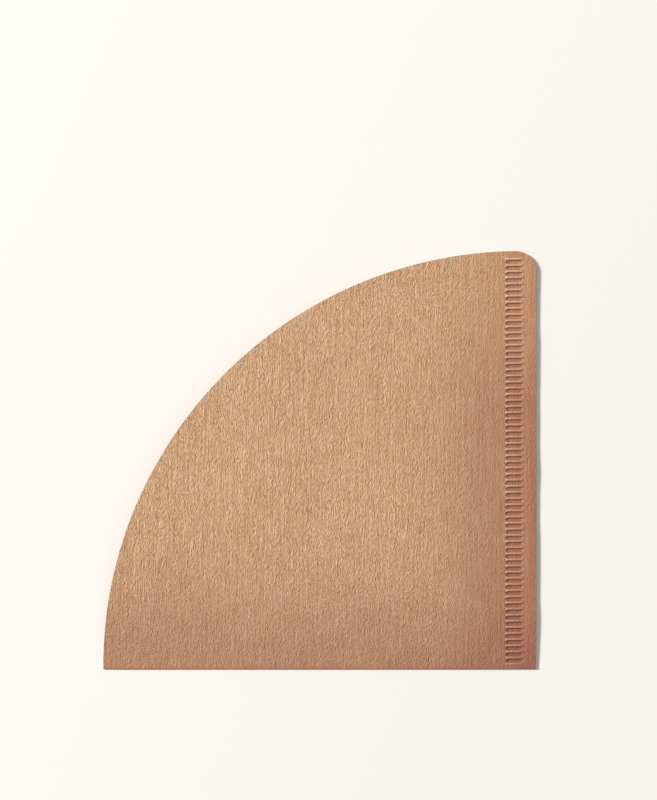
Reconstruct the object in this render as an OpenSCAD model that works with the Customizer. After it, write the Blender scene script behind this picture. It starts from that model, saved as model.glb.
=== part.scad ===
// Cone coffee filter, lying flat as it comes out of its pack. One sheet of
// unbleached crepe paper is folded in half, and its two plies are crimped
// together along the side that meets the fold at a right angle. The pocket
// between the plies opens at the curved mouth, and its point is where the
// crimped strip meets the fold. Opened out, the pocket is a 60 degree cone.

/* [Sheet] */
// Radius of the curved mouth, from the middle of the seam's foot
slant = 118; // [90:1:150]
// Thickness of one ply of the crepe paper
paper = 0.25; // [0.15:0.01:0.35]
// Radius of the rounded corner where the seam's edge meets the mouth
corner_r = 5.6; // [2:0.1:6]

/* [Pocket] */
// Height that the front ply springs up at the mouth, where the plies part most
mouth_lift = 3.2; // [0.5:0.1:3.6]
// How firmly the seam keeps the plies together beside it, against the fold
seam_hold = 2; // [1:0.1:3]

/* [Crimped seam] */
// Width of the crimped strip
crimp_w = 5.1; // [4:0.1:8]
// Distance from one crimp to the next
crimp_pitch = 1.735; // [1.5:0.005:2.5]
// Width of the flat top of a crest
crest_w = 0.4; // [0.2:0.02:0.6]
// Width of the slope on each side of a crest
flank_w = 0.2; // [0.08:0.01:0.3]
// Height of a crest above the plain paper
crest_h = 0.17; // [0.1:0.01:0.4]
// Depth that the plies are squeezed in the pit between two crests
squeeze = 0.25; // [0.05:0.01:0.28]
// Length of the slope where the end of a crest or a pit fades into plain paper
run_out = 0.55; // [0.2:0.05:1.2]
// Share of its width that a pit loses towards its ends
pit_taper = 0.7; // [0:0.05:0.9]
// Plain paper left between the crimps and the fold, and at least at the mouth
crimp_end = 0.8; // [0.5:0.1:4]

/* [Seam margin] */
// Width of the plain margin outside the crimped strip
margin_w = 3.5; // [2.5:0.1:6]
// Gap between the two plies at the outer edge of the margin
margin_gap = 0.3; // [0.1:0.05:1]
// Distance from the fold over which that gap opens
margin_ramp = 8; // [3:0.5:20]

/* [Hidden] */
kraft = [0.76, 0.6, 0.46];
mouth_steps = 60;
corner_steps = 12;
fold_sides = 32;

both = 2 * paper;
seam_w = crimp_w + margin_w;
mouth_centre = [seam_w / 2, 0];

// The pocket's point is the origin here: the fold runs along -X, the seam along +Y
tip_x = mouth_centre.x - slant;

// The mouth's arc runs from the fold, at 0 degrees, to the crimped strip
seam_angle = acos(mouth_centre.x / slant);
mouth_angles = [for (i = [0:mouth_steps]) seam_angle * i / mouth_steps];

// The rounded corner touches both the mouth's arc and the seam's edge
corner = [seam_w - corner_r, sqrt(pow(slant - corner_r, 2) - pow(mouth_centre.x - corner_r, 2))];
corner_start = mouth_centre.x + (corner.x - mouth_centre.x) * slant / (slant - corner_r);

crimp_foot = crest_w + 2 * flank_w;
crimp_run = top_y(crimp_w) - 2 * crimp_end;
crimp_count = floor((crimp_run - crimp_foot) / crimp_pitch) + 1;
pit_shift = (crimp_pitch - crimp_foot) / 2 * pit_taper;

highest_y = max([for (column = crimp_columns()) top_y(column[0])]);
box_middle = [(tip_x + seam_w) / 2, (highest_y - paper) / 2, 0];

// Levels of the crimped strip, as the rise of its underside and of its top face
PLAIN = [0, 0];
CREST = [crest_h, crest_h];
PIT = [0, -squeeze];

function on_mouth(angle) =
    [mouth_centre.x - slant * cos(angle), slant * sin(angle)];

// The plies part like a hinge at the fold, and run together flat at the seam
function lift(angle) =
    let (share = angle / seam_angle,
         peak = 1 / (seam_hold + 1))
    mouth_lift * (share / peak) * pow((1 - share) / (1 - peak), seam_hold);

// How far from the fold the die cuts the sheet, at a place x across the seam
function top_y(x) =
    x < corner_start
        ? sqrt(pow(slant, 2) - pow(x - mouth_centre.x, 2))
        : corner.y + sqrt(max(0, pow(corner_r, 2) - pow(x - corner.x, 2)));

// Columns across the strip as [distance from the pocket, share of the full relief]
function crimp_columns() =
    [[0, 0], [run_out, 1], [crimp_w - run_out, 1], [crimp_w, 0]];

// Rows along the strip as [distance from the fold, level, way the row moves at
// the crest's ends], because a crest spreads there as the pits beside it narrow
function crimp_rows() = concat(
    [[0, PLAIN, 0]],
    [for (i = [0:crimp_count - 1])
        let (foot = crimp_end + i * crimp_pitch,
             before = i == 0 ? PLAIN : PIT,
             after = i == crimp_count - 1 ? PLAIN : PIT)
        each [[foot, before, -1],
              [foot + flank_w, CREST, -1],
              [foot + flank_w + crest_w, CREST, 1],
              [foot + crimp_foot, after, 1]]]
);

// Two triangles that close the square of points a, b, c, d
function square_faces(a, b, c, d) = [[a, b, c], [a, c, d]];

// A closed slab between two sheets of points with the same rows and columns
module slab(low, high) {
    rows = len(low);
    columns = len(low[0]);
    up = rows * columns;
    function at(row, column) = row * columns + column;
    faces = concat(
        [for (r = [0:rows - 2], c = [0:columns - 2])
            let (a = at(r, c), b = at(r, c + 1), d = at(r + 1, c), e = at(r + 1, c + 1))
            each concat(square_faces(a, b, e, d), square_faces(up + a, up + d, up + e, up + b))],
        [for (r = [0:rows - 2])
            let (a = at(r, 0), b = at(r + 1, 0))
            each square_faces(a, b, up + b, up + a)],
        [for (r = [0:rows - 2])
            let (a = at(r + 1, columns - 1), b = at(r, columns - 1))
            each square_faces(a, b, up + b, up + a)],
        [for (c = [0:columns - 2])
            let (a = at(0, c + 1), b = at(0, c))
            each square_faces(a, b, up + b, up + a)],
        [for (c = [0:columns - 2])
            let (a = at(rows - 1, c), b = at(rows - 1, c + 1))
            each square_faces(a, b, up + b, up + a)]
    );
    polyhedron(concat([for (row = low) each row], [for (row = high) each row]), faces);
}

// The ply that lies on the table
module back_ply() {
    linear_extrude(paper)
        polygon(concat([[0, 0]], [for (a = mouth_angles) on_mouth(a)]));
}

// The ply that springs up: straight lines from the pocket's point to the mouth
module front_ply() {
    count = len(mouth_angles);
    last = count - 1;
    function low(i) = 2 + i;
    function high(i) = 2 + count + i;
    points = concat(
        [[0, 0, paper], [0, 0, both]],
        [for (a = mouth_angles) [each on_mouth(a), paper + lift(a)]],
        [for (a = mouth_angles) [each on_mouth(a), both + lift(a)]]
    );
    faces = concat(
        [for (i = [0:last - 1]) [0, low(i + 1), low(i)]],
        [for (i = [0:last - 1]) [1, high(i), high(i + 1)]],
        [for (i = [0:last - 1]) each square_faces(low(i), low(i + 1), high(i + 1), high(i))],
        square_faces(0, low(0), high(0), 1),
        square_faces(0, 1, high(last), low(last))
    );
    polyhedron(points, faces);
}

// The crease, where the sheet wraps round from one ply to the other
module fold() {
    length = seam_w - tip_x;
    translate([tip_x, 0, 0])
        intersection() {
            translate([0, 0, paper])
                rotate([0, 90, 0])
                    cylinder(h = length, r = paper, $fn = fold_sides);
            translate([0, -paper, 0])
                cube([length, paper, both]);
        }
}

// Both plies pressed into each other, as a ladder of raised crests and squeezed pits
module crimped_strip() {
    columns = crimp_columns();
    rows = crimp_rows();
    function point(row, col, rise) =
        [col[0], row[0] + row[2] * pit_shift * (1 - col[1]), rise * col[1]];
    function mouth_row(z) = [for (col = columns) [col[0], top_y(col[0]), z]];
    slab(
        concat(
            [for (row = rows) [for (col = columns) point(row, col, row[1][0])]],
            [mouth_row(0)]
        ),
        concat(
            [for (row = rows) [for (col = columns)
                point(row, col, row[1][1]) + [0, 0, both]]],
            [mouth_row(both)]
        )
    );
}

// One ply outside the crimps: free of the other ply, it bends up to gap at its edge
module margin_leaf(foot_z, gap) {
    places = [for (i = [0:corner_steps]) margin_w * sin(90 * i / corner_steps)];
    function rise(x) = gap * (1 - pow(1 - x / margin_w, 2));
    function face(z) = [
        [for (x = places) [crimp_w + x, 0, z]],
        [for (x = places) [crimp_w + x, margin_ramp, z + rise(x)]],
        [for (x = places) [crimp_w + x, top_y(crimp_w + x), z + rise(x)]]
    ];
    slab(face(foot_z), face(foot_z + paper));
}

module paper_filter() {
    color(kraft)
        translate(-box_middle)
            union() {
                back_ply();
                front_ply();
                fold();
                crimped_strip();
                margin_leaf(0, 0);
                margin_leaf(paper, margin_gap);
            }
}

paper_filter();
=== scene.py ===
"""Dresses a folded cone filter of unbleached crepe paper, and lights it on a pale floor.

Laid out as a Blender add-on, and run as a script. All sizes are in metres. The
sheet's functions work from the pocket's point, where the crimped strip meets the
fold: x runs across the seam, with the pocket at negative x, y runs from the fold
towards the mouth, and z runs up from the underside.
"""

import math

import bpy
import numpy as np
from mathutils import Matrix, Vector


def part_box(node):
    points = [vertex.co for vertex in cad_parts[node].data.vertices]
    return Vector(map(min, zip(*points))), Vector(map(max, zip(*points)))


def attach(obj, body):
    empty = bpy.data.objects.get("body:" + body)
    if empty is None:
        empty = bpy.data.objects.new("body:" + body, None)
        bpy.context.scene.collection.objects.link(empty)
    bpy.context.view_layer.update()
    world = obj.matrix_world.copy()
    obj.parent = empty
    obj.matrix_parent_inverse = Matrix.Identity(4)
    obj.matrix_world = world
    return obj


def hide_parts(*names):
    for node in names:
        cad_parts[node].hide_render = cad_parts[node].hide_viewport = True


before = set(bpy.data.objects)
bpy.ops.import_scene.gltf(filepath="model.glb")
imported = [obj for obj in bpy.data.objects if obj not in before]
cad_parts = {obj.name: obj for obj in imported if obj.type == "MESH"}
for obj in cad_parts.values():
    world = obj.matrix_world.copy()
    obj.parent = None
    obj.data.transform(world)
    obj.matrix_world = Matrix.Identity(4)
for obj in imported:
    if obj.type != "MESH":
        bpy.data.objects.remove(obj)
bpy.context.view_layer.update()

bl_info = {
    "name": "Paper cone filter",
    "version": (1, 0, 0),
    "blender": (4, 5, 0),
    "location": "3D View > Sidebar > Cone filter",
    "description": "Builds a crimped cone filter of crepe paper and its plain studio",
    "category": "Object",
}

NODE = "paper_filter"
BODY = "root"
PIECE = "crepe_paper_sheet"
MM = 0.001

# The picture's size, and the pixel where the middle of the seam's foot lies in it
PICTURE = (657, 800)
FOOT_PIXEL = (520.4, 668.0)
METRES_PER_PIXEL = 0.283 * MM

# Columns of the sheet's grid, which stand closer near the pocket's tip
TIP_LENGTH = 3 * MM
TIP_COLUMNS = 14
COLUMN_STEP = 0.35 * MM
RUN_OUT_STEPS = 3
STRIP_STEPS = 4
MARGIN_STEPS = 10

# Rows of its crimps, whose slopes reach a little past the flanks at either end
SLOPE_STEPS = 3
SLOPE_EASE = 0.25
PIT_EDGE = 0.06 * MM
PLAIN_ROWS = 7

# The faces beside the crimps take one of every few of those rows
FRONT_EVERY = 6
BACK_EVERY = 12

# Rows inside the pocket, steps round the fold, and the angle from which an edge is sharp
INNER_ROWS = 8
FOLD_STEPS = 8
SHARP_ANGLE = math.radians(60)

# The noise repeats after this many cells, which is further than the sheet reaches
NOISE_TILE = 512
FRONT_SEED = 20
BACK_SEED = 40
COCKLE_SEED = 60
EDGE_SEED = 80
SHADE_SEED = 100

# Cells of the broad waves, across the seam and along it, and the wave of the margin's edge
COCKLE_CELL = (17 * MM, 23 * MM)
SHADE_CELL = (14 * MM, 19 * MM)
EDGE_CELL = 7 * MM
EDGE_WAVE = 0.35

# The wrinkles' bend and the wider wrinkles, whose cells are so many wrinkles wide and long
BEND_CELL = (5, 2.5)
BEND = 1.4
WIDER_CELL = (2.3, 2)
WIDER_SHARE = 0.32

# How far the pressing, and the painted shade laid with it, reach from the seam and from the fold
SEAM_REACH = 17 * MM
FOLD_REACH = 24 * MM

# How smooth that makes the paper, from 0 to 1, and how smooth it is close by
SEAM_CALM = 0.45
FOLD_CALM = 0.32
CLOSE_CALM = 0.6
CLOSE_TO_SEAM = (-3.4 * MM, -1.2 * MM)
CLOSE_TO_FOLD = (0.2 * MM, 1.2 * MM)

# How much painted shade, tinted pink as a painted reflection, the seam and the fold lay on
# the paper, from 0 to 1, and how much more the margin takes. At the seam that fades by a
# share, between two distances from the fold.
SEAM_SHADE = 0.55
SEAM_FADE = 0.75
SEAM_FADES = (50 * MM, 120 * MM)
FOLD_SHADE = 0.46
MARGIN_SHADE = 0.2
SHADE_WAVE = 0.15

# Cells of the finish's noises, as their width and length or as one size
SWAY_CELL = 3.2 * MM
WRINKLE_CELL = (0.24 * MM, 1.1 * MM)
LINE_CELL = (0.8 * MM, 16 * MM)
FLECK_CELL = (0.45 * MM, 1.1 * MM)
GRAIN_CELL = 0.4 * MM
CLOUD_CELL = 6 * MM

# How far the wrinkles sway, how strong the long lines are beside them, and the grain's height
SWAY = 0.8 * MM
LINE_SHARE = 0.6
GRAIN_HEIGHT = 0.22 * MM

# How far each of them turns the paper's colour towards another one. For the wrinkles, the calm
# paper and the crests the turn paints highlight and shade, and for the pits it paints shade over
# the pressing's darker tone
WRINKLE_HIGHLIGHT_SHADE = 0.8
CALM_SHADE = 0.9
CLOUD_PALE = 0.3
CLOUD_DARK = 0.25
GRAIN_TONE = 0.35
FLECK_TONE = 0.2
PIT_PRESS_SHADE = 0.95
CREST_HIGHLIGHT = 0.7

# How far the flanks between crests and pits take the pits' painted shade
FLANK_SHADE = 0.6

# The floor lies this far under the sheet
FLOOR_DROP = 0.02 * MM


class FilterSheetSettings(bpy.types.PropertyGroup):
    """Sizes of the folded sheet, its pocket and its crimped seam"""

    paper: bpy.props.FloatProperty(
        name="Paper", description="Thickness of one ply",
        default=0.25 * MM, unit="LENGTH")
    corner: bpy.props.FloatProperty(
        name="Corner radius", description="Radius of the corner at the mouth end of the seam",
        default=5.6 * MM, unit="LENGTH")
    mouth_lift: bpy.props.FloatProperty(
        name="Mouth lift", description="Height that the front ply springs up at the mouth",
        default=3.2 * MM, unit="LENGTH")
    seam_hold: bpy.props.FloatProperty(
        name="Seam hold", description="How firmly the seam keeps the plies together beside it",
        default=2.0, min=1.0)
    strip: bpy.props.FloatProperty(
        name="Crimped strip", description="Width of the crimped strip",
        default=5.1 * MM, unit="LENGTH")
    margin: bpy.props.FloatProperty(
        name="Margin", description="Width of the plain margin outside the crimps",
        default=3.5 * MM, unit="LENGTH")
    margin_gap: bpy.props.FloatProperty(
        name="Margin gap", description="Gap between the two plies at the margin's edge",
        default=0.3 * MM, unit="LENGTH")
    margin_ramp: bpy.props.FloatProperty(
        name="Margin ramp", description="Distance from the fold over which that gap opens",
        default=8 * MM, unit="LENGTH")
    pitch: bpy.props.FloatProperty(
        name="Crimp pitch", description="Distance from one crimp to the next",
        default=1.735 * MM, unit="LENGTH")
    crest: bpy.props.FloatProperty(
        name="Crest width", description="Width of the flat top of a crest",
        default=0.4 * MM, unit="LENGTH")
    flank: bpy.props.FloatProperty(
        name="Flank width", description="Width of the slope on each side of a crest",
        default=0.2 * MM, unit="LENGTH")
    crest_height: bpy.props.FloatProperty(
        name="Crest height", description="Height of a crest above the plain paper",
        default=0.17 * MM, unit="LENGTH")
    squeeze: bpy.props.FloatProperty(
        name="Squeeze", description="Depth of a pit below the plain paper",
        default=0.25 * MM, unit="LENGTH")
    run_out: bpy.props.FloatProperty(
        name="Run out", description="Length over which the end of a crest or a pit fades",
        default=0.55 * MM, unit="LENGTH")
    pit_taper: bpy.props.FloatProperty(
        name="Pit taper", description="Share of its width that a pit loses towards its ends",
        default=0.7, min=0.0, max=0.9)
    crimp_end: bpy.props.FloatProperty(
        name="Plain end", description="Plain paper between the crimps and the fold or the mouth",
        default=0.8 * MM, unit="LENGTH")


class CrepeSettings(bpy.types.PropertyGroup):
    """Relief and colours of the crepe paper"""

    depth: bpy.props.FloatProperty(
        name="Crepe depth", description="Height of the wrinkles above and below the paper's face",
        default=0.035 * MM, unit="LENGTH")
    wrinkle_width: bpy.props.FloatProperty(
        name="Wrinkle width", description="Half of the distance from one wrinkle to the next",
        default=0.6 * MM, unit="LENGTH")
    wrinkle_length: bpy.props.FloatProperty(
        name="Wrinkle length", description="Half of the length of a wrinkle",
        default=2.0 * MM, unit="LENGTH")
    grain: bpy.props.FloatProperty(
        name="Grain", description="Height of the finest wrinkles, which the finish gives",
        default=0.5 * MM, unit="LENGTH")
    cockle: bpy.props.FloatProperty(
        name="Cockle", description="Share of its rise by which the front ply waves",
        default=0.15, min=0.0, max=0.5)
    kraft: bpy.props.FloatVectorProperty(
        name="Kraft", description="Colour of the unbleached paper",
        default=(0.77, 0.472, 0.26), subtype="COLOR", min=0.0, max=1.0)
    # A pale tone of the clouds and grain, and the painted highlight on the wrinkles' tops and the
    # crests
    pale_and_highlight: bpy.props.FloatVectorProperty(
        name="Ridge", description="Colour of the wrinkles' tops, where the fibres are loose",
        default=(0.84, 0.575, 0.38), subtype="COLOR", min=0.0, max=1.0)
    # A dark tone of the clouds and grain, and the painted shade in the wrinkles' hollows and over
    # the calm paper
    dark_and_shade: bpy.props.FloatVectorProperty(
        name="Valley", description="Colour between the wrinkles, where the fibres are dense",
        default=(0.5, 0.248, 0.104), subtype="COLOR", min=0.0, max=1.0)
    # The darker tone of the paper that the crimping wheel squeezes, with painted shade in the
    # crimps' pits and on their flanks
    pressed_and_shaded: bpy.props.FloatVectorProperty(
        name="Pressed", description="Colour of the paper that the crimping wheel has pressed",
        default=(0.55, 0.262, 0.13), subtype="COLOR", min=0.0, max=1.0)
    # Multiplies in painted shade, tinted pink as a painted reflection, towards the seam, the fold
    # and the margin
    painted_shade: bpy.props.FloatVectorProperty(
        name="Dense", description="What the paper's colour is multiplied by as it gets denser",
        default=(0.56, 0.378, 0.485), subtype="COLOR", min=0.0, max=1.0)
    fleck: bpy.props.FloatVectorProperty(
        name="Fleck", description="Colour of the dark fibres in the paper",
        default=(0.22, 0.11, 0.055), subtype="COLOR", min=0.0, max=1.0)


class StudioSettings(bpy.types.PropertyGroup):
    """Floor, light and camera"""

    floor: bpy.props.FloatVectorProperty(
        name="Floor", description="Colour of the floor",
        default=(0.975, 0.953, 0.913), subtype="COLOR", min=0.0, max=1.0)
    floor_size: bpy.props.FloatProperty(
        name="Floor size", description="Width of the square floor",
        default=6.0, unit="LENGTH")
    room: bpy.props.FloatVectorProperty(
        name="Room", description="Colour of the pale room all round",
        default=(1.0, 0.965, 0.92), subtype="COLOR", min=0.0, max=1.0)
    fill: bpy.props.FloatProperty(
        name="Fill", description="Share of the light that comes from all round",
        default=0.38, min=0.0, max=1.0)
    key_height: bpy.props.FloatProperty(
        name="Key height", description="Angle of the key lamp above the floor",
        default=math.radians(26), unit="ROTATION")
    key_side: bpy.props.FloatProperty(
        name="Key side", description="Angle of the key lamp to the left of the picture's top",
        default=math.radians(64), unit="ROTATION")
    key_distance: bpy.props.FloatProperty(
        name="Key distance", description="Distance of the key lamp from the filter",
        default=4.0, unit="LENGTH")
    key_size: bpy.props.FloatProperty(
        name="Key size", description="Width of the key lamp's square face",
        default=0.7, unit="LENGTH")
    camera_height: bpy.props.FloatProperty(
        name="Camera height", description="Height of the camera above the floor",
        default=0.8, unit="LENGTH")


def smooth_step(low, high, value):
    """Rises from 0 at low to 1 at high along the curve 3t^2 - 2t^3."""
    t = np.clip((value - low) / (high - low), 0, 1)
    return t * t * (3 - 2 * t)


def grid_noise(u, v, seed):
    """Smooth noise from -1 to 1: a random height at each whole-number point of a
    grid, blended across every cell along the curve 3t^2 - 2t^3."""
    heights = np.random.default_rng(seed).uniform(-1, 1, (NOISE_TILE, NOISE_TILE))
    column = np.floor(u).astype(int)
    row = np.floor(v).astype(int)
    s = smooth_step(0, 1, u - column)
    t = smooth_step(0, 1, v - row)

    def at(right, up):
        return heights[(column + right) % NOISE_TILE, (row + up) % NOISE_TILE]

    low = at(0, 0) * (1 - s) + at(1, 0) * s
    high = at(0, 1) * (1 - s) + at(1, 1) * s
    return low * (1 - t) + high * t


class Shape:
    """The folded sheet's surfaces as functions of x and y, with the sizes they need"""

    def __init__(self, sheet, crepe, low, high):
        self.sheet = sheet
        self.crepe = crepe
        self.both = 2 * sheet.paper
        self.seam = sheet.strip + sheet.margin
        self.centre = self.seam / 2
        self.slant = high[0] - low[0] - self.centre
        self.tip = self.centre - self.slant
        self.origin = np.array([low[0] - self.tip, low[1] + sheet.paper, low[2]])
        self.corner_x = self.seam - sheet.corner
        arm = self.slant - sheet.corner
        self.corner_y = math.sqrt(arm ** 2 - (self.corner_x - self.centre) ** 2)
        self.corner_start = self.centre + (self.corner_x - self.centre) * self.slant / arm

    def mouth_y(self, x):
        """Distance from the fold at which the die cuts the sheet at x: the mouth's
        circle, and past the place where the rounded corner touches it, the corner's."""
        mouth = np.sqrt(np.maximum(self.slant ** 2 - (x - self.centre) ** 2, 0))
        corner = self.corner_y + np.sqrt(
            np.maximum(self.sheet.corner ** 2 - (x - self.corner_x) ** 2, 0))
        return np.where(x < self.corner_start, mouth, corner)

    def lift(self, x, y):
        """Rise of the front ply in the pocket, less its waves. Each straight line from
        the pocket's point rises evenly to its end on the mouth's circle. The rise
        there is s times a power of 1 - s, scaled to the mouth's lift, where s is the
        share of the circle between the fold and the line's end."""
        length = np.maximum(np.hypot(x, y), 1e-9)
        along = x / length * self.centre
        reach = along + np.sqrt(along ** 2 + self.slant ** 2 - self.centre ** 2)
        angle = np.arctan2(y / length * reach, self.centre - x / length * reach)
        share = np.clip(angle / math.acos(self.centre / self.slant), 0, 1)
        peak = 1 / (self.sheet.seam_hold + 1)
        rise = share / peak * ((1 - share) / (1 - peak)) ** self.sheet.seam_hold
        wide, long = COCKLE_CELL
        wave = 0.5 + 0.5 * grid_noise(x / wide, y / long, COCKLE_SEED)
        return self.sheet.mouth_lift * rise * length / reach * (1 - self.crepe.cockle * wave)

    def leaf(self, x, y):
        """Rise of the front ply in the margin: 1 - (1 - s)^2 of the gap, where s is the
        share of the margin's width, with a low wave along the edge, and from nothing
        at the fold."""
        across = (x - self.sheet.strip) / self.sheet.margin
        ramp = np.clip(y / self.sheet.margin_ramp, 0, 1)
        wave = 1 + EDGE_WAVE * grid_noise(y / EDGE_CELL, np.zeros_like(y), EDGE_SEED)
        return self.sheet.margin_gap * (1 - (1 - across) ** 2) * ramp * wave

    def pressing(self, x, y):
        """How close a place is to the seam and to the fold, where the pressing is strongest and
        the painted shade darkest: exp(-d^2) of each distance d as a share of its reach."""
        seam = np.exp(-(np.minimum(x, 0) / SEAM_REACH) ** 2)
        fold = np.exp(-(y / FOLD_REACH) ** 2)
        return seam, fold

    def calm(self, x, y):
        """How smooth the paper is, from 0 to 1: by the pressing, and more close by."""
        seam, fold = self.pressing(x, y)
        broad = np.hypot(SEAM_CALM * seam, FOLD_CALM * fold)
        close = np.maximum(smooth_step(*CLOSE_TO_SEAM, x), 1 - smooth_step(*CLOSE_TO_FOLD, y))
        return np.maximum(broad, CLOSE_CALM * close)

    def density(self, x, y):
        """How much painted shade the paper takes, from 0 to 1, beside the seam and the fold:
        it fades along the seam towards the mouth, with more in the margin and a broad wave
        over all."""
        seam, fold = self.pressing(x, y)
        seam = SEAM_SHADE * seam * (1 - SEAM_FADE * smooth_step(*SEAM_FADES, y))
        margin = MARGIN_SHADE * smooth_step(0, self.sheet.strip, x)
        wide, long = SHADE_CELL
        wave = 1 + SHADE_WAVE * grid_noise(x / wide, y / long, SHADE_SEED)
        return np.hypot(seam + margin, FOLD_SHADE * fold) * wave

    def wrinkles(self, x, y, seed):
        """Height of the crepe: noise stretched along y into wrinkles, whose lines a
        broader noise bends, with wider ones among them, less where the sheet is calm."""
        across = x / self.crepe.wrinkle_width
        along = y / self.crepe.wrinkle_length
        bend = grid_noise(across / BEND_CELL[0], along / BEND_CELL[1], seed)
        across = across + BEND * bend
        fine = grid_noise(across, along, seed + 1)
        wider = grid_noise(across / WIDER_CELL[0], along / WIDER_CELL[1], seed + 2)
        height = (1 - WIDER_SHARE) * fine + WIDER_SHARE * wider
        return self.crepe.depth * height * (1 - self.calm(x, y))

    def front(self, x, y):
        """Height of the front ply's outer face over the pocket."""
        return self.both + self.lift(x, y) + self.wrinkles(x, y, FRONT_SEED)

    def back(self, x, y):
        """Height of the back ply's outer face, which only its wrinkles' tops leave."""
        return (self.crepe.depth + self.wrinkles(x, y, BACK_SEED)) / 2 * (1 - self.calm(x, y))


class Columns:
    """The sheet's grid: places of its columns across the seam, and rows up to the mouth"""

    def __init__(self, shape):
        sheet = shape.sheet
        near_tip = TIP_LENGTH * (np.arange(TIP_COLUMNS) / TIP_COLUMNS) ** 2
        evenly = int((-shape.tip - TIP_LENGTH) / COLUMN_STEP)
        self.pocket = np.concatenate([
            shape.tip + near_tip, np.linspace(shape.tip + TIP_LENGTH, 0, evenly + 1)])
        turn = np.linspace(0, math.pi / 2, MARGIN_STEPS + 1)
        self.margin = sheet.strip + sheet.margin * np.sin(turn)

        # Crests and pits fade along straight slopes towards the strip's sides
        fade = np.linspace(0, 1, RUN_OUT_STEPS + 1)
        middle = np.linspace(sheet.run_out, sheet.strip - sheet.run_out, STRIP_STEPS + 1)[1:-1]
        self.strip = np.concatenate([
            sheet.run_out * fade, middle, sheet.strip - sheet.run_out * fade[::-1]])
        full = np.ones(len(middle))
        share = np.concatenate([fade, full, fade[::-1]])

        y, level, shift, tone = crimp_rows(shape)
        y = y[:, None] + shift[:, None] * (1 - share)
        plain = np.linspace(0, 1, PLAIN_ROWS + 1)[1:, None]
        self.strip_y = np.concatenate([y, y[-1] + (shape.mouth_y(self.strip) - y[-1]) * plain])
        level, tone = (
            np.append(values, np.zeros(PLAIN_ROWS))[:, None] for values in (level, tone))
        self.level = level * share
        # The tint paints a highlight on the crests, and shade into the pits and onto their flanks
        self.tint = tone * np.where(
            tone > 0, smooth_step(0, 0.5, share), smooth_step(0.5, 1, share))

    def rows(self, shape, x, beside, every):
        """Every few of the strip's rows, carried from its column beside to the columns
        x, where they keep their share of the distance from the fold to the mouth."""
        share = self.strip_y[::every, beside] / self.strip_y[-1, beside]
        return share[:, None] * shape.mouth_y(x)


def crimp_rows(shape):
    """The crimps' rows from the fold up, as four arrays: the distance from the fold,
    the level from 1 on a crest to -1 in a pit, how far the row shifts at the strip's
    sides, where the crests spread and the pits narrow, and the tone, which paints a
    highlight on the crests and shade into the pits. That is the level less a share of
    1 - level^2, so that the flanks between them take painted shade too."""
    sheet = shape.sheet
    flat = sheet.crest / 2
    foot = flat + sheet.flank
    half_pitch = sheet.pitch / 2
    slope = np.linspace(
        (1 - SLOPE_EASE) * flat, foot + SLOPE_EASE * sheet.flank, SLOPE_STEPS + 1)
    bottom = slope[-1] + PIT_EDGE
    offset = np.concatenate([[-half_pitch, -bottom], -slope[::-1], [0], slope, [bottom]])
    level = 1 - 2 * smooth_step(slope[0], slope[-1], np.abs(offset))
    pull = np.minimum(
        np.abs(offset) / flat, (half_pitch - np.abs(offset)) / (half_pitch - foot))
    spread = (half_pitch - foot) * sheet.pit_taper
    shift = spread * np.sign(offset) * np.clip(pull, 0, 1)

    run = float(shape.mouth_y(np.array(sheet.strip))) - 2 * sheet.crimp_end
    count = int((run - 2 * foot) / sheet.pitch) + 1
    crest = sheet.crimp_end + foot + sheet.pitch * np.arange(count)
    y = (crest[:, None] + offset).ravel()[1:]
    level = np.tile(level, count)[1:]
    shift = np.tile(shift, count)[1:]
    beyond = (y < crest[0]) | (y > crest[-1])
    tone = np.where(beyond, (1 + level) / 2, level - FLANK_SHADE * (1 - level ** 2))
    level = np.where(beyond, (1 + level) / 2, level)
    before = np.linspace(0, y[0], PLAIN_ROWS, endpoint=False)
    plain = np.zeros(PLAIN_ROWS)
    return (np.concatenate([before, y]), np.concatenate([plain, level]),
            np.concatenate([plain, shift]), np.concatenate([plain, tone]))


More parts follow.
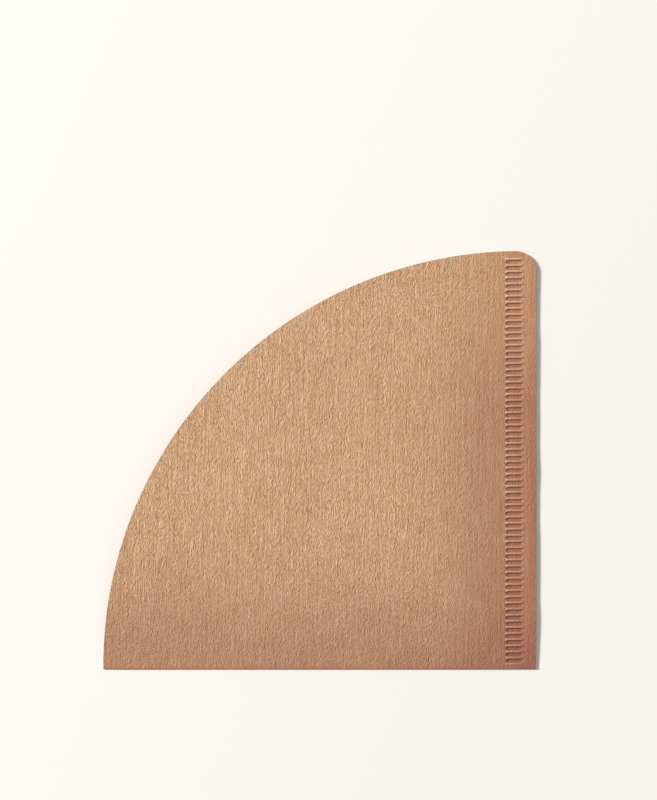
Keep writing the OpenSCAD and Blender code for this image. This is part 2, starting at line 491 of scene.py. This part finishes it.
class Shell:
    """Collects the points and faces of one closed surface, by the points' numbers"""

    def __init__(self):
        self.points = []
        self.crimps = []
        self.faces = []
        self.count = 0

    def add(self, x, y, z, crimp=0.0):
        """Adds a grid of points, and returns their numbers in the same grid."""
        x, y, z, crimp = np.broadcast_arrays(x, y, z, crimp)
        self.points.append(np.stack([x, y, z], axis=-1).reshape(-1, 3))
        self.crimps.append(crimp.ravel())
        self.count += x.size
        return np.arange(self.count - x.size, self.count).reshape(x.shape)

    def face(self, corners, flip):
        self.faces.append(corners[:, ::-1] if flip else corners)

    def quads(self, grid, flip=False):
        """Faces of a grid of numbers, seen from where its columns run to the right and
        its rows run up."""
        self.face(np.stack(
            [grid[:-1, :-1], grid[:-1, 1:], grid[1:, 1:], grid[1:, :-1]],
            axis=-1).reshape(-1, 4), flip)

    def fan(self, point, edge, flip=False):
        """Triangles from a point to an edge that runs up on its right."""
        points = np.full(len(edge) - 1, point)
        self.face(np.stack([points, edge[:-1], edge[1:]], axis=-1), flip)

    def bridge(self, coarse, fine, flip=False):
        """Faces from a coarse edge to a fine one that runs up on its right. Each face
        has one step of the coarse edge, and all the fine steps beside it."""
        every = (len(fine) - 1) // (len(coarse) - 1)
        first = np.arange(0, len(fine) - 1, every)
        beside = fine[first[:, None] + np.arange(every + 1)]
        self.face(np.column_stack([coarse[:-1], beside, coarse[1:]]), flip)

    def mesh(self, name, shape):
        """The mesh of all faces at the shape's place, with how smooth the paper is, its crimps'
        tint of painted shade and highlight, and its painted shade towards the seam and the fold.
        """
        used = np.unique(np.concatenate([block.ravel() for block in self.faces]))
        number = np.zeros(self.count, dtype=np.int32)
        number[used] = np.arange(len(used))
        corners = number[np.concatenate([block.ravel() for block in self.faces])]
        totals = np.concatenate(
            [np.full(len(block), block.shape[1]) for block in self.faces])
        starts = np.cumsum(totals) - totals
        points = np.concatenate(self.points)[used]
        x, y = points[:, 0], points[:, 1]
        layers = {
            "calm": shape.calm(x, y),
            "painted_shade": shape.density(x, y),
            "crimp": np.concatenate(self.crimps)[used],
        }

        mesh = bpy.data.meshes.new(name)
        mesh.vertices.add(len(used))
        mesh.vertices.foreach_set("co", (points + shape.origin).ravel())
        mesh.loops.add(len(corners))
        mesh.loops.foreach_set("vertex_index", corners)
        mesh.polygons.add(len(totals))
        mesh.polygons.foreach_set("loop_start", starts)
        mesh.update(calc_edges=True)
        for key, values in layers.items():
            layer = mesh.attributes.new(key, "FLOAT", "POINT")
            layer.data.foreach_set("value", values)
        if mesh.validate():
            raise RuntimeError(f"the mesh of {name} has faults")
        mesh.polygons.foreach_set("use_smooth", np.ones(len(totals), dtype=bool))
        mesh.set_sharp_from_angle(angle=SHARP_ANGLE)
        return mesh


def add_strip(shell, shape, columns):
    """The strip where the plies are one: a crest lifts both faces, a pit dents the top.
    Returns the two faces' grids."""
    sheet = shape.sheet
    x = np.broadcast_to(columns.strip, columns.strip_y.shape)
    y = columns.strip_y
    crest = sheet.crest_height * np.maximum(columns.level, 0)
    pit = sheet.squeeze * np.maximum(-columns.level, 0)
    grain = shape.wrinkles(x, y, FRONT_SEED)
    top = shell.add(x, y, shape.both + crest - pit + grain, columns.tint)
    under = shell.add(x, y, crest, columns.tint)
    shell.quads(top)
    shell.quads(under, flip=True)
    return top, under


def add_pocket_face(shell, shape, columns, height, strip, every, flip):
    """One outer face over the pocket: a fan at the tip, a grid, and a bridge to the
    strip. Returns its edges along the fold and the mouth."""
    inner = columns.pocket[1:-1]
    y = columns.rows(shape, inner, 0, every)
    x = np.broadcast_to(inner, y.shape)
    grid = shell.add(x, y, height(x, y))
    tip_x, tip_y = np.array([shape.tip]), np.zeros(1)
    tip = shell.add(tip_x, tip_y, height(tip_x, tip_y))
    shell.fan(tip[0], grid[:, 0], flip)
    shell.quads(grid, flip)
    shell.bridge(grid[:, -1], strip[:, 0], flip)
    return np.concatenate([tip, grid[0]]), np.concatenate([tip, grid[-1]])


def add_pocket_inside(shell, shape, columns):
    """The pocket's ceiling and floor, which share the fold, the strip's side and the
    tip. Returns their edges along the mouth."""
    y = np.linspace(0, 1, INNER_ROWS)[:, None] * shape.mouth_y(columns.pocket)
    x = np.broadcast_to(columns.pocket, y.shape)
    ceiling = shell.add(x, y, shape.sheet.paper + shape.lift(x, y))
    floor = shell.add(x, y, shape.sheet.paper)
    ceiling[:, 0] = ceiling[0, 0]
    floor[0] = ceiling[0]
    floor[:, [0, -1]] = ceiling[:, [0, -1]]
    for grid, flip in ((ceiling, True), (floor, False)):
        shell.fan(grid[0, 0], grid[:, 1], flip)
        shell.quads(grid[:, 1:], flip)
    return ceiling[-1], floor[-1]


def add_margin(shell, shape, columns, top, under):
    """The margin, whose plies are free of each other: the two outer faces, each with a
    bridge to the strip, the two inner ones, and the edges at the seam's side. Returns
    the four grids from the top down, the outer ones without the strip's column."""
    y = columns.rows(shape, columns.margin, -1, FRONT_EVERY)
    x = np.broadcast_to(columns.margin, y.shape)
    leaf = shape.leaf(x, y)
    grain = shape.wrinkles(x, y, FRONT_SEED)
    outer = shell.add(x, y, shape.both + leaf + grain)[:, 1:]
    ceiling = shell.add(x, y, shape.sheet.paper + leaf)
    floor = shell.add(x, y, shape.sheet.paper)
    sole = shell.add(x, y, 0.0)[:, 1:]
    floor[0] = ceiling[0]
    floor[:, 0] = ceiling[:, 0]
    shell.quads(outer)
    shell.quads(ceiling, flip=True)
    shell.quads(floor)
    shell.quads(sole, flip=True)
    shell.bridge(outer[:, 0], top[:, -1], flip=True)
    shell.bridge(sole[:, 0], under[:, -1])
    shell.quads(np.column_stack([outer[:, -1], ceiling[:, -1]]))
    shell.quads(np.column_stack([floor[:, -1], sole[:, -1]]))
    return outer, ceiling, floor, sole


def add_fold(shell, shape, columns, front, back, tip, end):
    """The half circle that the sheet makes round the fold, from the front ply's edge
    to the back ply's, closed at the tip and at the seam's side."""
    x = np.concatenate([columns.pocket[:-1], columns.strip, columns.margin[1:]])
    turn = np.linspace(0, math.pi, FOLD_STEPS + 1)[1:-1, None]
    paper = shape.sheet.paper
    round_fold = shell.add(x, -paper * np.sin(turn), paper * (1 + np.cos(turn)))
    grid = np.vstack([front, round_fold, back])
    shell.quads(grid, flip=True)
    shell.face(np.append(grid[:, 0], tip)[None], flip=True)
    shell.face(np.append(grid[:, -1], end)[None], flip=False)


def sheet_mesh(shape):
    """The whole folded sheet as one closed surface, made of the faces above."""
    shell = Shell()
    columns = Columns(shape)
    top, under = add_strip(shell, shape, columns)
    front_fold, front_mouth = add_pocket_face(
        shell, shape, columns, shape.front, top, FRONT_EVERY, False)
    back_fold, back_mouth = add_pocket_face(
        shell, shape, columns, shape.back, under, BACK_EVERY, True)
    ceiling_mouth, floor_mouth = add_pocket_inside(shell, shape, columns)
    outer, ceiling, floor, sole = add_margin(shell, shape, columns, top, under)

    front = np.concatenate([front_fold, top[0], outer[0]])
    back = np.concatenate([back_fold, under[0], sole[0]])
    add_fold(shell, shape, columns, front, back, ceiling_mouth[0], ceiling[0, -1])

    # The cut edge at the mouth: each ply's, and between them the strip's
    across = columns.strip[1:-1]
    middle = shell.add(across, shape.mouth_y(across), shape.sheet.paper)
    shell.quads(np.stack([
        np.concatenate([front_mouth, top[-1], outer[-1]]),
        np.concatenate([ceiling_mouth, middle, ceiling[-1]])]))
    shell.quads(np.stack([
        np.concatenate([floor_mouth, middle, floor[-1]]),
        np.concatenate([back_mouth, under[-1], sole[-1]])]))
    return shell.mesh(PIECE, shape)


class Graph:
    """Adds and links the shader nodes of one material"""

    def __init__(self, name):
        self.material = bpy.data.materials.new(name)
        self.material.use_nodes = True
        self.tree = self.material.node_tree
        self.tree.nodes.clear()

    def add(self, kind, inputs=(), output=0, **settings):
        """Adds a node with its inputs, by name or number, as values or sockets to
        link, and returns one of its outputs."""
        node = self.tree.nodes.new(kind)
        for key, value in settings.items():
            setattr(node, key, value)
        for key, value in dict(inputs).items():
            if isinstance(value, bpy.types.NodeSocket):
                self.tree.links.new(value, node.inputs[key])
            else:
                node.inputs[key].default_value = value
        return node.outputs[output]

    def noise(self, place, scale, detail=2.0, roughness=0.5, distortion=0.0):
        return self.add("ShaderNodeTexNoise", {
            "Vector": place, "Scale": scale, "Detail": detail,
            "Roughness": roughness, "Distortion": distortion})

    def stretch(self, place, cell):
        """Place, scaled so that one unit is a cell's width across the sheet and its
        length along it."""
        width, length = cell
        scale = (1 / width, 1 / length, 1 / width)
        return self.add("ShaderNodeMapping", {"Vector": place, "Scale": scale})

    def map(self, value, low, high, to_low=0.0, to_high=1.0):
        return self.add("ShaderNodeMapRange", {
            "Value": value, "From Min": low, "From Max": high,
            "To Min": to_low, "To Max": to_high})

    def maths(self, operation, a, b):
        return self.add("ShaderNodeMath", {0: a, 1: b}, operation=operation)

    def mix(self, share, a, b, blend="MIX"):
        """Colour a, with the given share of colour b."""
        return self.add(
            "ShaderNodeMix", {0: share, 6: a, 7: b}, output=2, data_type="RGBA",
            blend_type=blend)

    def turn(self, colour, noise, full, share, other):
        """Colour, turned towards another one by up to a share as the noise goes from
        its middle, 0.5, to full."""
        return self.mix(self.map(noise, 0.5, full, 0.0, share), colour, other)

    def attribute(self, name):
        return self.add("ShaderNodeAttribute", output="Fac", attribute_name=name)

    def bump(self, height, distance, normal=None):
        inputs = {"Height": height, "Distance": distance, "Strength": 1.0}
        if normal is not None:
            inputs["Normal"] = normal
        return self.add("ShaderNodeBump", inputs)

    def surface(self, inputs):
        """Ends the material with the main shader, and returns it."""
        shader = self.add("ShaderNodeBsdfPrincipled", inputs)
        end = self.tree.nodes.new("ShaderNodeOutputMaterial")
        self.tree.links.new(shader, end.inputs["Surface"])
        return self.material


def opaque(colour):
    return (*colour, 1.0)


def paper_material(crepe):
    """Unbleached crepe paper: wrinkles with a painted highlight on their tops and painted
    shade in their hollows, a cloudy formation, fine fibres with some dark ones, crimps
    darkened by the wheel's pressing and by painted shade, with a painted highlight on
    their crests, and painted shade, tinted pink as a painted reflection, towards the
    seam and the fold."""
    graph = Graph("unbleached_crepe_paper")
    place = graph.add("ShaderNodeTexCoord", output="Object")
    calm = graph.attribute("calm")
    crimp = graph.attribute("crimp")
    loose = graph.maths("SUBTRACT", 1.0, calm)

    # A broad noise sways the wrinkles, so that they lean to either side
    sway = graph.map(graph.noise(place, 1 / SWAY_CELL), 0.2, 0.8, -SWAY, SWAY)
    offset = graph.add("ShaderNodeCombineXYZ", {"X": sway})
    swayed = graph.add("ShaderNodeVectorMath", {0: place, 1: offset}, operation="ADD")
    wrinkles = graph.noise(
        graph.stretch(swayed, WRINKLE_CELL), 1.0, detail=1.5, distortion=0.15)
    lines = graph.noise(graph.stretch(place, LINE_CELL), 1.0)
    grain = graph.noise(place, 1 / GRAIN_CELL, roughness=0.6)
    cloud = graph.noise(place, 1 / CLOUD_CELL, detail=4.0, roughness=0.6)
    flecks = graph.noise(
        graph.stretch(place, FLECK_CELL), 1.0, detail=1.0, distortion=1.5)

    kraft, pale_and_highlight, dark_and_shade, pressed_and_shaded, painted_shade, fleck = (
        opaque(colour) for colour in
        (crepe.kraft, crepe.pale_and_highlight, crepe.dark_and_shade, crepe.pressed_and_shaded, crepe.painted_shade, crepe.fleck))
    # Painted light: the wrinkles' tops turn paler as a painted highlight, and their hollows
    # darker as painted shade
    tops = graph.maths("MULTIPLY", graph.map(wrinkles, 0.5, 0.72), loose)
    hollows = graph.maths("MULTIPLY", graph.map(wrinkles, 0.5, 0.28), loose)
    colour = graph.mix(graph.maths("MULTIPLY", tops, WRINKLE_HIGHLIGHT_SHADE), kraft, pale_and_highlight)
    colour = graph.mix(graph.maths("MULTIPLY", hollows, WRINKLE_HIGHLIGHT_SHADE), colour, dark_and_shade)
    # Painted shade where the paper is calm, most beside the seam, in the margin and along the
    # fold
    colour = graph.mix(graph.maths("MULTIPLY", calm, CALM_SHADE), colour, dark_and_shade)
    colour = graph.turn(colour, cloud, 0.75, CLOUD_PALE, pale_and_highlight)
    colour = graph.turn(colour, cloud, 0.25, CLOUD_DARK, dark_and_shade)
    colour = graph.turn(colour, grain, 0.75, GRAIN_TONE, pale_and_highlight)
    colour = graph.turn(colour, grain, 0.25, GRAIN_TONE, dark_and_shade)
    colour = graph.mix(graph.map(flecks, 0.7, 0.78, 0.0, FLECK_TONE), colour, fleck)
    # The crimps' pits and flanks: the darker tone of the wheel's pressing, with painted shade;
    # their crests: a painted highlight
    colour = graph.mix(graph.map(crimp, 0.2, -1.0, 0.0, PIT_PRESS_SHADE), colour, pressed_and_shaded)
    colour = graph.mix(graph.map(crimp, 0.2, 1.0, 0.0, CREST_HIGHLIGHT), colour, pale_and_highlight)
    # Painted shade, tinted pink as a painted reflection, darker towards the seam, the fold and
    # the margin
    colour = graph.mix(graph.attribute("painted_shade"), colour, painted_shade, blend="MULTIPLY")

    roughness = graph.map(grain, 0.3, 0.7, 0.82, 0.96)
    # Both noises lie round 0.5, so the relief is centred before it fades where it is calm
    relief = graph.maths("ADD", wrinkles, graph.maths("MULTIPLY", lines, LINE_SHARE))
    relief = graph.maths("SUBTRACT", relief, 0.5 * (1 + LINE_SHARE))
    relief = graph.maths("MULTIPLY", relief, loose)
    normal = graph.bump(relief, crepe.grain)
    normal = graph.bump(grain, GRAIN_HEIGHT, normal)
    return graph.surface({
        "Base Color": colour, "Roughness": roughness, "Normal": normal,
        "Specular IOR Level": 0.3, "Sheen Weight": 0.12, "Sheen Roughness": 0.6})


def floor_material(studio):
    """A plain pale matt board."""
    return Graph("pale_board").surface({
        "Base Color": opaque(studio.floor), "Roughness": 0.9, "Specular IOR Level": 0.0})


def replace_object(name, data):
    """Links a new object of this name, in place of the last one."""
    old = bpy.data.objects.get(name)
    if old is not None:
        bpy.data.objects.remove(old)
    item = bpy.data.objects.new(name, data)
    bpy.context.scene.collection.objects.link(item)
    return item


class CONEFILTER_OT_fold_sheet(bpy.types.Operator):
    """Fold and crimp the sheet of crepe paper, in place of the plain solid"""

    bl_idname = "cone_filter.fold_sheet"
    bl_label = "Fold Sheet"

    def execute(self, context):
        scene = context.scene
        low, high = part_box(NODE)
        shape = Shape(scene.filter_sheet, scene.filter_crepe, low, high)
        mesh = sheet_mesh(shape)
        mesh.materials.append(paper_material(scene.filter_crepe))
        piece = replace_object(PIECE, mesh)
        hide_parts(NODE)
        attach(piece, BODY)
        return {"FINISHED"}


class CONEFILTER_OT_set_studio(bpy.types.Operator):
    """Lay the floor, and place the light and the camera over it"""

    bl_idname = "cone_filter.set_studio"
    bl_label = "Set Studio"

    def execute(self, context):
        scene = context.scene
        studio = scene.filter_studio
        shape = Shape(scene.filter_sheet, scene.filter_crepe, *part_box(NODE))
        aim = self.picture_middle(shape)
        self.lay_floor(studio, aim)
        self.hang_key(studio, aim)
        self.light_room(scene, studio)
        self.place_camera(scene, studio, aim)
        return {"FINISHED"}

    def picture_middle(self, shape):
        """Place on the floor that the picture's middle shows."""
        foot = shape.origin + np.array([shape.centre, 0, 0])
        right = PICTURE[0] / 2 - FOOT_PIXEL[0]
        up = FOOT_PIXEL[1] - PICTURE[1] / 2
        return foot + METRES_PER_PIXEL * np.array([right, up, 0])

    def lay_floor(self, studio, aim):
        half = studio.floor_size / 2
        x, y, z = aim - np.array([0, 0, FLOOR_DROP])
        corners = [(x - half, y - half, z), (x + half, y - half, z),
                   (x + half, y + half, z), (x - half, y + half, z)]
        mesh = bpy.data.meshes.new("floor")
        mesh.from_pydata(corners, [], [(0, 1, 2, 3)])
        mesh.materials.append(floor_material(studio))
        replace_object("floor", mesh)

    def hang_key(self, studio, aim):
        """A square lamp that gives the floor the share of its light that the fill leaves.
        Its own width costs it a third of the square of its width over its distance."""
        level = math.cos(studio.key_height)
        towards = np.array([
            -level * math.sin(studio.key_side), level * math.cos(studio.key_side),
            math.sin(studio.key_height)])
        data = bpy.data.lights.new("key", "AREA")
        data.size = studio.key_size
        share = (1 - studio.fill) / (1 - (studio.key_size / studio.key_distance) ** 2 / 3)
        data.energy = (
            share * math.pi ** 2 * studio.key_distance ** 2 / math.sin(studio.key_height))
        lamp = replace_object("key", data)
        lamp.location = aim + towards * studio.key_distance
        lamp.rotation_euler = (math.pi / 2 - studio.key_height, 0, math.pi + studio.key_side)

    def light_room(self, scene, studio):
        """A pale tone all round, which the camera sees in full, itself or in gloss and
        through glass, and which lights by the fill's share."""
        world = bpy.data.worlds.new("room")
        world.use_nodes = True
        nodes, links = world.node_tree.nodes, world.node_tree.links
        nodes.clear()
        path = nodes.new("ShaderNodeLightPath")
        seen = path.outputs["Is Camera Ray"]
        for kind in ("Is Glossy Ray", "Is Transmission Ray"):
            either = nodes.new("ShaderNodeMath")
            links.new(seen, either.inputs[0])
            links.new(path.outputs[kind], either.inputs[1])
            seen = either.outputs["Value"]
        strength = nodes.new("ShaderNodeMapRange")
        strength.inputs["To Min"].default_value = studio.fill
        strength.inputs["To Max"].default_value = 1.0
        room = nodes.new("ShaderNodeBackground")
        room.inputs["Color"].default_value = opaque(studio.room)
        output = nodes.new("ShaderNodeOutputWorld")
        links.new(seen, strength.inputs["Value"])
        links.new(strength.outputs["Result"], room.inputs["Strength"])
        links.new(room.outputs["Background"], output.inputs["Surface"])
        scene.world = world
        scene.view_settings.view_transform = "Standard"

    def place_camera(self, scene, studio, aim):
        """A camera that looks straight down, with the picture's top towards the mouth."""
        data = bpy.data.cameras.new("camera")
        data.sensor_fit = "HORIZONTAL"
        data.lens = data.sensor_width * studio.camera_height / (PICTURE[0] * METRES_PER_PIXEL)
        data.clip_start = 0.01
        camera = replace_object("camera", data)
        camera.location = aim + np.array([0, 0, studio.camera_height])
        scene.camera = camera


class CONEFILTER_PT_panel(bpy.types.Panel):
    """Sizes, colours and steps of the cone filter"""

    bl_idname = "CONEFILTER_PT_panel"
    bl_label = "Cone Filter"
    bl_space_type = "VIEW_3D"
    bl_region_type = "UI"
    bl_category = "Cone filter"

    def draw(self, context):
        for title, settings, operator in (
                ("Sheet", context.scene.filter_sheet, None),
                ("Crepe", context.scene.filter_crepe, CONEFILTER_OT_fold_sheet),
                ("Studio", context.scene.filter_studio, CONEFILTER_OT_set_studio)):
            box = self.layout.box()
            box.label(text=title)
            for key in settings.bl_rna.properties.keys():
                if key not in ("rna_type", "name"):
                    box.prop(settings, key)
            if operator is not None:
                box.operator(operator.bl_idname)


CLASSES = (
    FilterSheetSettings,
    CrepeSettings,
    StudioSettings,
    CONEFILTER_OT_fold_sheet,
    CONEFILTER_OT_set_studio,
    CONEFILTER_PT_panel,
)

SETTINGS = {
    "filter_sheet": FilterSheetSettings,
    "filter_crepe": CrepeSettings,
    "filter_studio": StudioSettings,
}


def register():
    for item in CLASSES:
        bpy.utils.register_class(item)
    for key, group in SETTINGS.items():
        setattr(bpy.types.Scene, key, bpy.props.PointerProperty(type=group))


def unregister():
    for key in SETTINGS:
        delattr(bpy.types.Scene, key)
    for item in reversed(CLASSES):
        bpy.utils.unregister_class(item)


def main():
    """Builds the filter and its studio."""
    register()
    bpy.ops.cone_filter.fold_sheet()
    bpy.ops.cone_filter.set_studio()


if __name__ == "__main__":
    main()
